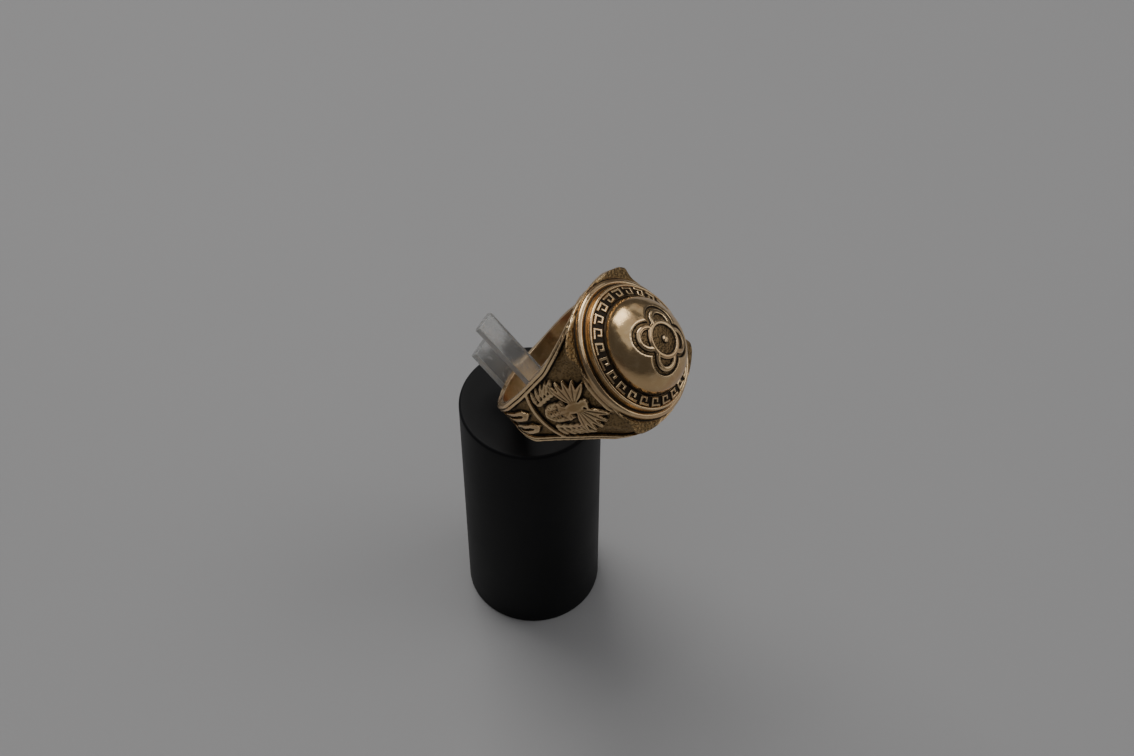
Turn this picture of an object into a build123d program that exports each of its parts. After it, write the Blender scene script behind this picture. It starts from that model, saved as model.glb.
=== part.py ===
from build123d import *
import os
from math import cos, radians, sin

os.makedirs("parts", exist_ok=True)

# Stand: a plain black cylinder, origin at the middle of its foot
STAND_DIAMETER = 19.0
STAND_HEIGHT = 40.0
STAND_TOP_EDGE = 0.45
STAND_FOOT_EDGE = 0.25

# Pose of the ring on the stand: the finger axis leans back from upright, the dome looks forward and up
LEAN = 45.0
HOOP_CENTRE = (5.05, 0.0, STAND_HEIGHT + 9.05)

# Hoop, measured from its own centre; "up" is towards the dome, "across" is along the finger
BORE_RADIUS = 8.25
BACK_RADIUS = 9.4
BACK_HALF_WIDTH = 1.95
SHOULDER_UP = 13.1
SHOULDER_ROUNDING = 40.0
SHOULDER_START = 3.0
SIDE_BULGE_RADIUS = 17.5
ACROSS_HALF_WIDTH = 9.5
ACROSS_BULGE_RADIUS = 14.5
CORNER_RADIUS = 10.5

# Panels on the two sides of the hoop
RIM_WIDTH = 0.8
PANEL_DEPTH = 0.45
PANEL_BACK_END = -6.4
RIM_GROOVE_DEPTH = 0.16
LOW_FIGURE_HEIGHT = 0.24
FIGURE_HEIGHT = 0.42
FIGURE_ROOT = 0.06

# Head: an oval collar with two beads, a gently sloping band and a seat for the dome; radii are means of the oval
OVAL_ACROSS = 1.048
OVAL_ROUND = 0.954
COLLAR_RADIUS = 8.82
COLLAR_GROOVE = (8.08, 13.8)
BAND_OUTER = (7.55, 14.78)
BAND_INNER = (6.25, 15.36)
BAND_RELIEF_HEIGHT = 0.15
BAND_UNIT_COUNT = 24
SEAT_UP = 14.75
SEAT_GAP = 0.08

# Dome: half an ellipsoid on a short foot
DOME_RADIUS = 6.07
DOME_HEIGHT = 4.1
DOME_FOOT_UP = 15.5
DOME_WALL = 1.0
POCKET_DEPTH = 0.32

# Hollow under the head, open to the finger hole
HOLLOW_ACROSS = 10.2
HOLLOW_ROUND = 14.6
HOLLOW_WAIST_RADIUS = 6.5
HOLLOW_TOP_RADIUS = 5.4

# Clip: one clear piece with a long arm inside the hoop and a shorter one behind it
CLIP_WIDTH = 3.2
CLIP_FRONT = -5.05
CLIP_INNER_BACK = -6.05
CLIP_OUTER_FRONT = -9.47
CLIP_BACK = -10.6
INNER_ARM_TIP = 10.9
OUTER_ARM_TIP = 7.5
CLIP_WEB = -2.3
CLIP_ROOT = -8.6
SOCKET_GAP = 0.1

finger_dir = Vector(-sin(radians(LEAN)), 0, cos(radians(LEAN)))
head_dir = Vector(cos(radians(LEAN)), 0, sin(radians(LEAN)))
hoop_centre = Vector(*HOOP_CENTRE)

# Looking along the finger: local x is up towards the dome, local y runs to the ring's far side
hoop_plane = Plane(origin=hoop_centre, x_dir=head_dir, z_dir=finger_dir)
# Looking down on the dome: local x runs across along the finger, local y to the ring's near side
head_plane = Plane(origin=hoop_centre, x_dir=finger_dir, z_dir=head_dir)
# Looking at the ring's side: local x is up towards the dome, local y is across along the finger
side_plane = Plane(origin=hoop_centre, x_dir=head_dir, z_dir=(0, -1, 0))
# Section through the head: local x is across along the finger, local y is up towards the dome
head_section = Plane(origin=hoop_centre, x_dir=finger_dir, z_dir=(0, 1, 0))
head_axis = Axis(hoop_centre, head_dir)


def side_outline(inset=0.0):
    """Outline of the hoop seen along the finger: a round back, straight sides, slightly rounded shoulders."""
    arc_centre = (SHOULDER_START, BACK_RADIUS - SHOULDER_ROUNDING)
    rise = SHOULDER_UP - SHOULDER_START
    shoulder_height = arc_centre[1] + (SHOULDER_ROUNDING**2 - rise**2) ** 0.5
    middle_height = arc_centre[1] + (SHOULDER_ROUNDING**2 - rise**2 / 4) ** 0.5
    with BuildSketch() as outline:
        with BuildLine():
            CenterArc((0, 0), BACK_RADIUS, 90, 90)
            Line((0, BACK_RADIUS), (SHOULDER_START, BACK_RADIUS))
            ThreePointArc(
                (SHOULDER_START, BACK_RADIUS),
                (SHOULDER_START + rise / 2, middle_height),
                (SHOULDER_UP, shoulder_height),
            )
            Line((SHOULDER_UP, shoulder_height), (SHOULDER_UP, 0))
            Line((SHOULDER_UP, 0), (-BACK_RADIUS, 0))
        make_face()
        mirror(about=Plane.XZ)
        if inset:
            offset(amount=-inset)
    return outline.sketch


def bulge_outline(inset=0.0):
    """Outline of the ring seen from above the dome: a cushion with four bulging sides and rounded corners."""
    centre = BACK_RADIUS - SIDE_BULGE_RADIUS
    across_centre = ACROSS_HALF_WIDTH - ACROSS_BULGE_RADIUS
    with BuildSketch() as outline:
        with Locations((0, centre)):
            Circle(SIDE_BULGE_RADIUS - inset)
        with Locations((0, -centre)):
            Circle(SIDE_BULGE_RADIUS - inset, mode=Mode.INTERSECT)
        with Locations((across_centre, 0)):
            Circle(ACROSS_BULGE_RADIUS - inset, mode=Mode.INTERSECT)
        with Locations((-across_centre, 0)):
            Circle(ACROSS_BULGE_RADIUS - inset, mode=Mode.INTERSECT)
        Circle(CORNER_RADIUS - inset, mode=Mode.INTERSECT)
    return outline.sketch


def width_outline(inset=0.0, front_up=SHOULDER_UP + 1):
    """Outline of the hoop seen from its side: narrow at the back, flaring up to the head."""
    back = (-BACK_RADIUS - 1.5, BACK_HALF_WIDTH)
    front = (front_up, 10.2)
    flare = [back, (-7.6, BACK_HALF_WIDTH), (1.0, 4.05), (7.6, 6.1), (11.2, 8.0), front]
    with BuildSketch() as outline:
        with BuildLine():
            FilletPolyline(*flare, radius=[14, 14, 12, 8])
            Polyline(front, (front[0], 0), (back[0], 0), back)
        make_face()
        mirror(about=Plane.XZ)
        if inset:
            offset(amount=-inset)
    return outline.sketch


def side_core(inset=0.0):
    """The hoop's full-width body with its sides moved in by the inset."""
    outline = side_outline(inset)
    bulge = bulge_outline(inset)
    with BuildPart() as core:
        with BuildSketch(hoop_plane):
            add(outline)
        extrude(amount=12, both=True)
        with BuildSketch(head_plane):
            add(bulge)
        extrude(amount=16, both=True, mode=Mode.INTERSECT)
    return core.part


def leaf(length, width):
    """A pointed leaf lying along local x, its stem at the origin."""
    with BuildSketch() as blade:
        with BuildLine():
            ThreePointArc((0, 0), (0.45 * length, width / 2), (length, 0))
            ThreePointArc((length, 0), (0.45 * length, -width / 2), (0, 0))
        make_face()
    return blade.sketch


def ring_sector(inner_radius, outer_radius, start, sweep):
    """A piece of a flat ring about the origin, from one angle through a sweep in degrees."""
    with BuildSketch() as piece:
        with BuildLine():
            outer = CenterArc((0, 0), outer_radius, start, sweep)
            inner = CenterArc((0, 0), inner_radius, start, sweep)
            Line(outer @ 0, inner @ 0)
            Line(outer @ 1, inner @ 1)
        make_face()
    return piece.sketch


full_core = side_core()
floor_core = side_core(PANEL_DEPTH)
root_core = side_core(PANEL_DEPTH + FIGURE_ROOT)
low_core = side_core(PANEL_DEPTH - LOW_FIGURE_HEIGHT)
top_core = side_core(PANEL_DEPTH - FIGURE_HEIGHT)
groove_core = side_core(RIM_GROOVE_DEPTH)
outer_width = width_outline()
panel_width = width_outline(RIM_WIDTH, SHOULDER_UP + RIM_WIDTH - 0.3)
groove_wide = width_outline(0.3)
groove_narrow = width_outline(0.47)
wing_leaf = leaf(3.7, 0.78)
long_leaf = leaf(2.2, 0.7)
short_leaf = leaf(1.35, 0.56)

# Stand: black cylinder with a slanting socket for the clip's root
socket_plane = Plane(origin=hoop_centre + finger_dir * (CLIP_ROOT - 0.15), x_dir=head_dir, z_dir=finger_dir)
with BuildPart() as stand_post:
    with BuildSketch():
        Circle(STAND_DIAMETER / 2)
    extrude(amount=STAND_HEIGHT)
    fillet(stand_post.edges().group_by(Axis.Z)[-1], STAND_TOP_EDGE)
    fillet(stand_post.edges().group_by(Axis.Z)[0], STAND_FOOT_EDGE)
    with BuildSketch(socket_plane):
        with Locations(((CLIP_BACK + CLIP_FRONT) / 2, 0)):
            Rectangle(CLIP_FRONT - CLIP_BACK + 2 * SOCKET_GAP, CLIP_WIDTH + 2 * SOCKET_GAP)
    extrude(amount=14, mode=Mode.SUBTRACT)
stand_post.part.label = "stand_post"
export_step(stand_post.part, "parts/stand_post.step")

# Clip: a slotted root with two flat arms that run along the finger axis, the hoop's back between them
with BuildPart() as ring_clip:
    with BuildSketch(side_plane):
        with BuildLine():
            Polyline(
                (CLIP_BACK, CLIP_ROOT),
                (CLIP_FRONT, CLIP_ROOT),
                (CLIP_FRONT, INNER_ARM_TIP),
                (CLIP_INNER_BACK, INNER_ARM_TIP),
                (CLIP_INNER_BACK, CLIP_WEB),
                (CLIP_OUTER_FRONT, CLIP_WEB),
                (CLIP_OUTER_FRONT, OUTER_ARM_TIP),
                (CLIP_BACK, OUTER_ARM_TIP),
                close=True,
            )
        make_face()
    extrude(amount=CLIP_WIDTH / 2, both=True)
ring_clip.part.label = "ring_clip"
export_step(ring_clip.part, "parts/ring_clip.step")

# Hoop blank: round back, shoulders rising to the head, sides flaring from back to head
with BuildPart() as hoop:
    add(full_core)
    with BuildSketch(side_plane):
        add(outer_width)
    extrude(amount=14, both=True, mode=Mode.INTERSECT)

# Sunk panel on both sides, inside the rims
with BuildPart() as panel_cut:
    with BuildSketch(side_plane):
        add(panel_width)
        with Locations((PANEL_BACK_END - 10, 0)):
            Rectangle(20, 20, mode=Mode.SUBTRACT)
    extrude(amount=14, both=True)
    add(floor_core, mode=Mode.SUBTRACT)

# Fine groove that splits each rim into two mouldings
with BuildPart() as rim_groove:
    with BuildSketch(side_plane):
        add(groove_wide)
        add(groove_narrow, mode=Mode.SUBTRACT)
        with Locations((PANEL_BACK_END - 11, 0)):
            Rectangle(20, 20, mode=Mode.SUBTRACT)
    extrude(amount=14, both=True)
    add(groove_core, mode=Mode.SUBTRACT)

# Side panel, low layer: a shield and two laurel sprays; up is towards the dome
with BuildSketch() as low_figure:
    with BuildLine():
        Polyline((5.0, 1.5), (7.2, 1.5), (7.2, -1.5), (5.0, -1.5))
        ThreePointArc((5.0, -1.5), (3.75, -1.0), (3.0, 0))
        ThreePointArc((3.0, 0), (3.75, 1.0), (5.0, 1.5))
    make_face()
    for across in (1, -1):
        for step in range(5):
            stem = (3.0 + 0.85 * step, across * (1.75 + 0.34 * step))
            with Locations(Location(stem, across * (78 - 8 * step))):
                add(long_leaf)
            with Locations(Location(stem, across * (14 - 8 * step))):
                add(short_leaf)

# Side panel, top layer: a bird with spread wings over the shield, the dividing bar, and lozenges behind it
with BuildSketch() as top_figure:
    with Locations((8.3, 0)):
        Ellipse(1.5, 0.8)
    with Locations((10.0, 0.1)):
        Circle(0.56)
    with BuildLine():
        Polyline((10.45, -0.1), (10.0, -1.1), (9.7, -0.25), (10.45, -0.1))
    make_face()
    for across in (1, -1):
        for feather, turn in enumerate((36, 55, 73, 91, 109)):
            with Locations(Location((9.0 - 0.16 * feather, across * 0.6), across * turn)):
                add(wing_leaf)
        for turn in (155, 174):
            with Locations(Location((7.3, across * 0.25), across * turn)):
                add(short_leaf)
    with Locations((6.55, 0)):
        Rectangle(0.42, 3.0)
    for across in (-1.0, 0, 1.0):
        with Locations((5.15, across)):
            Rectangle(2.4 - abs(across), 0.36)
    with BuildLine():
        upper = ThreePointArc((3.6, 5.2), (2.15, 0), (3.6, -5.2))
        lower = ThreePointArc((3.15, 5.2), (1.65, 0), (3.15, -5.2))
        Line(upper @ 0, lower @ 0)
        Line(upper @ 1, lower @ 1)
    make_face()
    for across in (1.12, -1.12):
        with Locations((-2.1, across)):
            lozenge = ((-2.6, 0), (-1.4, 0.72), (1.9, 0.72), (2.9, 0), (1.9, -0.72), (-1.4, -0.72))
            Polygon(*lozenge, align=None)
            slot = ((-1.5, 0), (-0.9, 0.25), (1.2, 0.25), (1.8, 0), (1.2, -0.25), (-0.9, -0.25))
            Polygon(*slot, align=None, mode=Mode.SUBTRACT)

with BuildPart() as low_relief:
    with BuildSketch(side_plane):
        add(low_figure.sketch)
    extrude(amount=14)
    add(low_core, mode=Mode.INTERSECT)
    add(root_core, mode=Mode.SUBTRACT)

with BuildPart() as top_relief:
    with BuildSketch(side_plane):
        add(top_figure.sketch)
        add(panel_width, mode=Mode.INTERSECT)
    extrude(amount=14)
    add(top_core, mode=Mode.INTERSECT)
    add(root_core, mode=Mode.SUBTRACT)

# Head, made upright about the Z axis: a round collar with two beads and the ground of the band
with BuildPart() as collar:
    with BuildSketch(Plane.XZ):
        with BuildLine():
            Polyline((0, 12.0), (COLLAR_RADIUS, 12.0), (COLLAR_RADIUS, 13.3))
            ThreePointArc((COLLAR_RADIUS, 13.3), (8.72, 13.72), (8.35, 13.93))
            Polyline((8.35, 13.93), COLLAR_GROOVE, (7.96, 14.0), (7.9, 14.6))
            ThreePointArc((7.9, 14.6), (7.82, 14.9), (7.66, 14.93))
            Polyline((7.66, 14.93), BAND_OUTER, BAND_INNER, (BAND_INNER[0], SEAT_UP), (0, SEAT_UP), (0, 12.0))
        make_face()
    revolve(axis=Axis.Z)

# Band of hooked meander units, cut off level with the slope
with BuildPart() as band_relief:
    with BuildSketch():
        with PolarLocations(0, BAND_UNIT_COUNT):
            add(ring_sector(7.2, 7.44, 0, 11.6))
            add(ring_sector(6.42, 7.44, 0, 2.3))
            add(ring_sector(6.42, 6.64, 0, 8.8))
            add(ring_sector(6.64, 6.98, 6.5, 2.3))
    extrude(amount=20)
    with BuildSketch(Plane.XZ):
        low_outer = (BAND_OUTER[0], BAND_OUTER[1] - 0.1)
        low_inner = (BAND_INNER[0], BAND_INNER[1] - 0.1)
        high_inner = (BAND_INNER[0], BAND_INNER[1] + BAND_RELIEF_HEIGHT)
        high_outer = (BAND_OUTER[0], BAND_OUTER[1] + BAND_RELIEF_HEIGHT)
        Polygon(low_outer, low_inner, high_inner, high_outer, align=None)
    revolve(axis=Axis.Z, mode=Mode.INTERSECT)

with BuildPart() as head_round:
    add(collar.part)
    add(band_relief.part)
oval_head = head_plane.location * scale(head_round.part, by=(OVAL_ACROSS, OVAL_ROUND, 1))

with BuildPart() as ring_body:
    add(hoop.part)
    add(panel_cut.part, mode=Mode.SUBTRACT)
    add(rim_groove.part, mode=Mode.SUBTRACT)
    add(low_relief.part)
    add(top_relief.part)
    add(mirror(low_relief.part, about=Plane.XZ, mode=Mode.PRIVATE))
    add(mirror(top_relief.part, about=Plane.XZ, mode=Mode.PRIVATE))
    add(oval_head)
    with BuildSketch(hoop_plane):
        Circle(BORE_RADIUS)
    extrude(amount=14, both=True, mode=Mode.SUBTRACT)
    with BuildSketch(head_plane.offset(4)):
        RectangleRounded(HOLLOW_ACROSS, HOLLOW_ROUND, 3)
    extrude(amount=7.6, mode=Mode.SUBTRACT)
    with BuildSketch(head_section):
        with BuildLine():
            waist = (HOLLOW_WAIST_RADIUS, 12.9)
            Polyline((0, 9), (4.5, 9), (HOLLOW_WAIST_RADIUS, 11.5), waist)
            Polyline(waist, (HOLLOW_TOP_RADIUS, 14.2), (HOLLOW_TOP_RADIUS, 16), (0, 16), (0, 9))
        make_face()
    revolve(axis=head_axis, mode=Mode.SUBTRACT)
ring_body.part.label = "ring_body"
export_step(ring_body.part, "parts/ring_body.step")

# Dome, made upright about the Z axis: a shell whose foot stands in the seat
floor_up = SEAT_UP + SEAT_GAP
foot_radius = BAND_INNER[0] - SEAT_GAP
inner_radius = DOME_RADIUS - DOME_WALL
inner_top = DOME_FOOT_UP + DOME_HEIGHT - DOME_WALL
with BuildPart() as dome_shell:
    with BuildSketch(Plane.XZ):
        with BuildLine():
            Polyline((inner_radius, DOME_FOOT_UP), (inner_radius, floor_up), (foot_radius, floor_up))
            Polyline((foot_radius, floor_up), (foot_radius, DOME_FOOT_UP - 0.08), (DOME_RADIUS, DOME_FOOT_UP))
            EllipticalCenterArc((0, DOME_FOOT_UP), DOME_RADIUS, DOME_HEIGHT, 0, arc_size=90)
            Line((0, DOME_FOOT_UP + DOME_HEIGHT), (0, inner_top))
            EllipticalCenterArc((0, DOME_FOOT_UP), inner_radius, inner_top - DOME_FOOT_UP, 0, arc_size=90)
        make_face()
    revolve(axis=Axis.Z)

# Knot of four loops: its grounds are sunk between strokes that stay flush with the dome
with BuildPart() as pockets:
    with BuildSketch():
        Circle(2.95)
        with PolarLocations(2.3, 4, start_angle=45):
            Circle(2.1)
        with PolarLocations(2.3, 4, start_angle=45):
            Circle(1.65, mode=Mode.SUBTRACT)
        with PolarLocations(2.3, 4, start_angle=45):
            Circle(1.05)
        Circle(2.5, mode=Mode.SUBTRACT)
        Circle(1.9)
        Circle(0.48, mode=Mode.SUBTRACT)
    extrude(amount=22)
    with BuildSketch(Plane.XZ):
        with Locations((0, DOME_FOOT_UP)):
            Ellipse(DOME_RADIUS - POCKET_DEPTH, DOME_HEIGHT - POCKET_DEPTH)
        Rectangle(20, 60, align=(Align.MAX, Align.CENTER), mode=Mode.SUBTRACT)
    revolve(axis=Axis.Z, mode=Mode.SUBTRACT)
    with BuildSketch():
        Circle(5)
    extrude(amount=DOME_FOOT_UP, mode=Mode.SUBTRACT)

with BuildPart() as dome_round:
    add(dome_shell.part)
    add(pockets.part, mode=Mode.SUBTRACT)
oval_dome = head_plane.location * scale(dome_round.part, by=(OVAL_ACROSS, OVAL_ROUND, 1))
with BuildPart() as crest_dome:
    add(oval_dome)
crest_dome.part.label = "crest_dome"
export_step(crest_dome.part, "parts/crest_dome.step")

for piece in (stand_post, ring_clip, ring_body, crest_dome):
    print(piece.part.label, len(piece.solids()), round(piece.part.volume, 1))
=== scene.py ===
"""A class ring leaning in a clear clip on a black display stand, dressed for the camera.

Lengths inside the classes are millimetres. They turn into metres when a mesh is made.
"""
import logging
import math
from dataclasses import dataclass
from enum import Enum
from typing import Any, Iterable, Optional, Sequence, Union

import bmesh
import bpy
import numpy as np
from bpy.types import Material, Mesh, NodeSocket, NodeTree, Object
from mathutils import Matrix, Vector


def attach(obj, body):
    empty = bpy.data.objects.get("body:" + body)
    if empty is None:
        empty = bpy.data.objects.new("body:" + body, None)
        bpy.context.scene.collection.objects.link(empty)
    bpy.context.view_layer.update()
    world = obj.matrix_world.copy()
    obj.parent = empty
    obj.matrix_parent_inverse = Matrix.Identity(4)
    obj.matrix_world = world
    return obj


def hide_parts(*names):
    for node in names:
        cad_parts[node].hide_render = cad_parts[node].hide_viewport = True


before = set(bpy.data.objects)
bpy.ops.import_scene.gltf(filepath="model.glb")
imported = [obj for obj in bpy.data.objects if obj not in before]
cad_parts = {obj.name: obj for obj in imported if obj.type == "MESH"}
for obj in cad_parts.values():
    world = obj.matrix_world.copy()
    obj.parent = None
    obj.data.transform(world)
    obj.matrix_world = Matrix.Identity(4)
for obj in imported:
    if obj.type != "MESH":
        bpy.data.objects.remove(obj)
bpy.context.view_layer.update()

LOG = logging.getLogger("ring_scene")
MM = 0.001
TINY = 1e-9
WELD = 1e-7
BODY = "root"
Array = np.ndarray
Colour = tuple[float, float, float]
Pair = tuple[float, float]
Place = tuple[float, float, float]
Shade = Union["Value", float]


class Polish(Enum):
    """How far a gold surface is worn: its lowest roughness, and the share of it that is bright."""

    CAST = (0.17, 0.0)
    RUBBED = (0.13, 0.35)


class Value:
    """A number on a shader socket. Arithmetic on it adds Math nodes to its material."""

    def __init__(self, bench: "Bench", socket: NodeSocket) -> None:
        """Keeps an output socket, and the bench that its nodes are added to."""
        self.bench = bench
        self.socket = socket

    def _math(self, operation: str, first: Shade, second: Shade) -> "Value":
        """The result of a new Math node on two operands."""
        sockets = {0: first, 1: second}
        return Value(self.bench, self.bench.node("ShaderNodeMath", {"operation": operation}, sockets))

    def __add__(self, other: Shade) -> "Value":
        """Sum of two values."""
        return self._math("ADD", self, other)

    def __radd__(self, other: Shade) -> "Value":
        """Sum with a plain number on the left."""
        return self._math("ADD", other, self)

    def __sub__(self, other: Shade) -> "Value":
        """Difference of two values."""
        return self._math("SUBTRACT", self, other)

    def __rsub__(self, other: Shade) -> "Value":
        """Difference from a plain number on the left."""
        return self._math("SUBTRACT", other, self)

    def __mul__(self, other: Shade) -> "Value":
        """Product of two values."""
        return self._math("MULTIPLY", self, other)

    def __rmul__(self, other: Shade) -> "Value":
        """Product with a plain number on the left."""
        return self._math("MULTIPLY", other, self)

    def at_most(self, other: Shade) -> "Value":
        """The smaller of two values."""
        return self._math("MINIMUM", self, other)

    def ramp(self, low: float, high: float) -> "Value":
        """Rises smoothly from 0 at low to 1 at high.

        Args:
            low: Value that gives 0.
            high: Value that gives 1.

        Returns:
            The eased value between 0 and 1.
        """
        settings = {"interpolation_type": "SMOOTHSTEP", "clamp": True}
        sockets = {"Value": self, "From Min": low, "From Max": high, "To Min": 0.0, "To Max": 1.0}
        return Value(self.bench, self.bench.node("ShaderNodeMapRange", settings, sockets))


class Bench:
    """One material and the nodes that are added to it."""

    def __init__(self, name: str) -> None:
        """Makes an empty node material.

        Args:
            name: The material's name.
        """
        self.material = bpy.data.materials.new(name)
        self.material.use_nodes = True
        self.tree = self.material.node_tree
        self.tree.nodes.clear()
        self.place = self.node("ShaderNodeTexCoord", output="Object")

    def node(
        self,
        kind: str,
        settings: Optional[dict[str, Any]] = None,
        sockets: Optional[dict[Any, Any]] = None,
        output: Union[int, str] = 0,
    ) -> NodeSocket:
        """Adds a node, sets it up and fills its sockets.

        Args:
            kind: The node's type name.
            settings: The node's own settings, set before its sockets.
            sockets: Values or links by socket name or number.
            output: The output to return.

        Returns:
            The chosen output socket.
        """
        made = self.tree.nodes.new(kind)
        for key, value in (settings or {}).items():
            setattr(made, key, value)
        for key, value in (sockets or {}).items():
            if isinstance(value, Value):
                value = value.socket
            if isinstance(value, NodeSocket):
                self.tree.links.new(value, made.inputs[key])
            else:
                made.inputs[key].default_value = value
        return made.outputs[output]

    def attribute(self, name: str) -> Value:
        """Reads a number stored on the mesh's points."""
        return Value(self, self.node("ShaderNodeAttribute", {"attribute_name": name}, output="Fac"))

    def noise(
        self, scale: float, detail: float = 3.0, rough: float = 0.55, stretch: Optional[Place] = None
    ) -> Value:
        """Cloudy noise in object space.

        Args:
            scale: Cells in a metre.
            detail: Finer layers that are added.
            rough: Weight of the finer layers.
            stretch: Scale along each axis before the noise, if any.

        Returns:
            The noise, mostly between 0.3 and 0.7.
        """
        where = self.place
        if stretch is not None:
            where = self.node("ShaderNodeMapping", None, {"Vector": where, "Scale": stretch})
        sockets = {"Vector": where, "Scale": scale, "Detail": detail, "Roughness": rough}
        return Value(self, self.node("ShaderNodeTexNoise", None, sockets))

    def cells(self, scale: float, feature: str = "F1", randomness: float = 1.0) -> Value:
        """Distance to scattered points in object space.

        Args:
            scale: Cells in a metre.
            feature: The kind of distance.
            randomness: How far the points leave a regular grid.

        Returns:
            The distance, 0 at a point.
        """
        settings = {"feature": feature}
        sockets = {"Vector": self.place, "Scale": scale, "Randomness": randomness}
        return Value(self, self.node("ShaderNodeTexVoronoi", settings, sockets, "Distance"))

    def blend(self, share: Shade, first: Any, second: Any) -> NodeSocket:
        """Mixes two colours.

        Args:
            share: 0 gives the first colour and 1 the second.
            first: A colour or a colour socket.
            second: A colour or a colour socket.

        Returns:
            The mixed colour.
        """
        pair = [c if isinstance(c, NodeSocket) else (*c, 1.0) for c in (first, second)]
        settings = {"data_type": "RGBA", "clamp_factor": True}
        return self.node("ShaderNodeMix", settings, {0: share, 6: pair[0], 7: pair[1]}, 2)

    def bump(self, height: Shade, depth: float, under: Optional[NodeSocket] = None) -> NodeSocket:
        """Turns a height into a normal.

        Args:
            height: Height between 0 and 1.
            depth: What a height of 1 is, in millimetres.
            under: A normal that this one goes over.

        Returns:
            The normal.
        """
        sockets = {"Height": height, "Distance": depth * MM, "Strength": 1.0}
        if under is not None:
            sockets["Normal"] = under
        return self.node("ShaderNodeBump", None, sockets)

    def finish(self, sockets: dict[str, Any]) -> Material:
        """Adds a Principled shader with these values or links, and gives the finished material."""
        self.node_out(self.node("ShaderNodeBsdfPrincipled", None, sockets))
        return self.material

    def node_out(self, shader: NodeSocket) -> None:
        """Links a shader to the material's output."""
        made = self.tree.nodes.new("ShaderNodeOutputMaterial")
        self.tree.links.new(shader, made.inputs["Surface"])


@dataclass(frozen=True)
class GoldFinish:
    """Worn gold with a dark patina in its recesses and a stippled ground, and painted highlights on its
    edges and in its bore.
    """

    body: Colour = (0.66, 0.43, 0.195)
    bright: Colour = (0.94, 0.69, 0.40)
    copper: Colour = (0.66, 0.33, 0.17)
    patina: Colour = (0.022, 0.015, 0.009)
    olive: Colour = (0.115, 0.080, 0.042)
    bronze: Colour = (0.27, 0.185, 0.090)
    tarnish: Colour = (0.16, 0.075, 0.034)
    stipple_pitch: float = 0.33
    stipple_depth: float = 0.11
    wave_depth: float = 0.055
    dent_depth: float = 0.016
    scratch_depth: float = 0.006
    polish: Polish = Polish.CAST

    def material(self, name: str) -> Material:
        """Builds the gold material.

        Args:
            name: The material's name.

        Returns:
            The material.
        """
        bench = Bench(name)
        cavity = bench.attribute("cavity")
        ground = bench.attribute("ground")
        edge = bench.attribute("edge")
        bore = bench.attribute("bore")
        patches = bench.noise(230, 3.0)
        smear = bench.noise(900, 5.0, 0.6)
        fine = bench.noise(5200, 3.0, 0.6)
        grain = bench.cells(1000 / self.stipple_pitch, "SMOOTH_F1", 0.85)
        scratch = bench.noise(1500, 3.0, 0.6, (1.0, 1.0, 0.08))
        lowest_rough, lift = self.polish.value

        # Painted highlight: convex edges and the bore are blended towards the bright gold, along with random
        # rubbed tone and the polish's bright share.
        shine = (edge.ramp(0.04, 0.55) + smear.ramp(0.44, 0.68) * 0.40 + bore * 0.25 + lift).at_most(1.0)
        colour = bench.blend(shine, self.body, self.bright)
        red = patches.ramp(0.46, 0.60) * (0.24 + bore * 0.70)
        colour = bench.blend(red, colour, self.copper)
        pit = grain.ramp(0.52, 0.12)
        rubbed = (smear.ramp(0.38, 0.72) * 0.30 + (1 - pit) * 0.30).at_most(1.0)
        ground_tone = bench.blend(rubbed, self.olive, self.body)
        colour = bench.blend(ground * 0.86, colour, ground_tone)
        # The relief's figures are darkened towards a bronze tone. Their edges are spared, which keeps the
        # painted highlight there.
        colour = bench.blend(bench.attribute("figure") * (0.62 - edge * 0.45), colour, self.bronze)
        soot = (cavity.ramp(0.12, 0.58) * (0.78 + smear * 0.5)).at_most(0.985)
        colour = bench.blend(soot, colour, self.patina)
        dull = bore * bench.noise(330, 4.0, 0.6).ramp(0.50, 0.66) * 0.5
        colour = bench.blend(dull, colour, self.tarnish)

        rough = lowest_rough + smear * 0.16 + ground * 0.20 + soot * 0.22 - edge * 0.06 + bore * 0.10
        waves = bench.bump(bench.noise(560, 2.0, 0.4), self.wave_depth)
        dents = bench.bump(bench.noise(1500, 2.0, 0.5), self.dent_depth, waves)
        worn = bench.bump(fine * 0.6 + scratch * 0.8, self.scratch_depth, dents)
        punched = bench.bump(grain.ramp(0.05, 0.60) * ground, self.stipple_depth, worn)
        return bench.finish({
            "Base Color": colour,
            "Metallic": 1.0 - soot * 0.35,
            "Roughness": rough.at_most(0.8),
            "Normal": punched,
        })


@dataclass(frozen=True)
class BlackPlastic:
    """Satin black plastic with fine dust and faint rubbing."""

    base: Colour = (0.0035, 0.0036, 0.0042)
    rubbed: Colour = (0.014, 0.014, 0.016)
    shine: float = 0.16
    drawn_depth: float = 0.005
    grain_depth: float = 0.008

    def material(self, name: str) -> Material:
        """Builds the black material.

        Args:
            name: The material's name.

        Returns:
            The material.
        """
        bench = Bench(name)
        cloud = bench.noise(120, 4.0)
        specks = bench.cells(900).ramp(0.09, 0.03) * bench.noise(300, 2.0).ramp(0.52, 0.66)
        edge = bench.attribute("edge")
        haze = (cloud.ramp(0.40, 0.68) * 0.30 + edge * 0.55 + specks * 0.8).at_most(1.0)
        grain = bench.noise(7000, 2.0)
        drawn = bench.noise(2600, 3.0, 0.6, (1.0, 1.0, 0.05))
        normal = bench.bump(drawn, self.drawn_depth, bench.bump(grain, self.grain_depth))
        return bench.finish({
            "Base Color": bench.blend(haze, self.base, self.rubbed),
            "Roughness": 0.40 + cloud * 0.16 + specks * 0.2,
            "Specular IOR Level": self.shine,
            "Normal": normal,
        })


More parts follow.
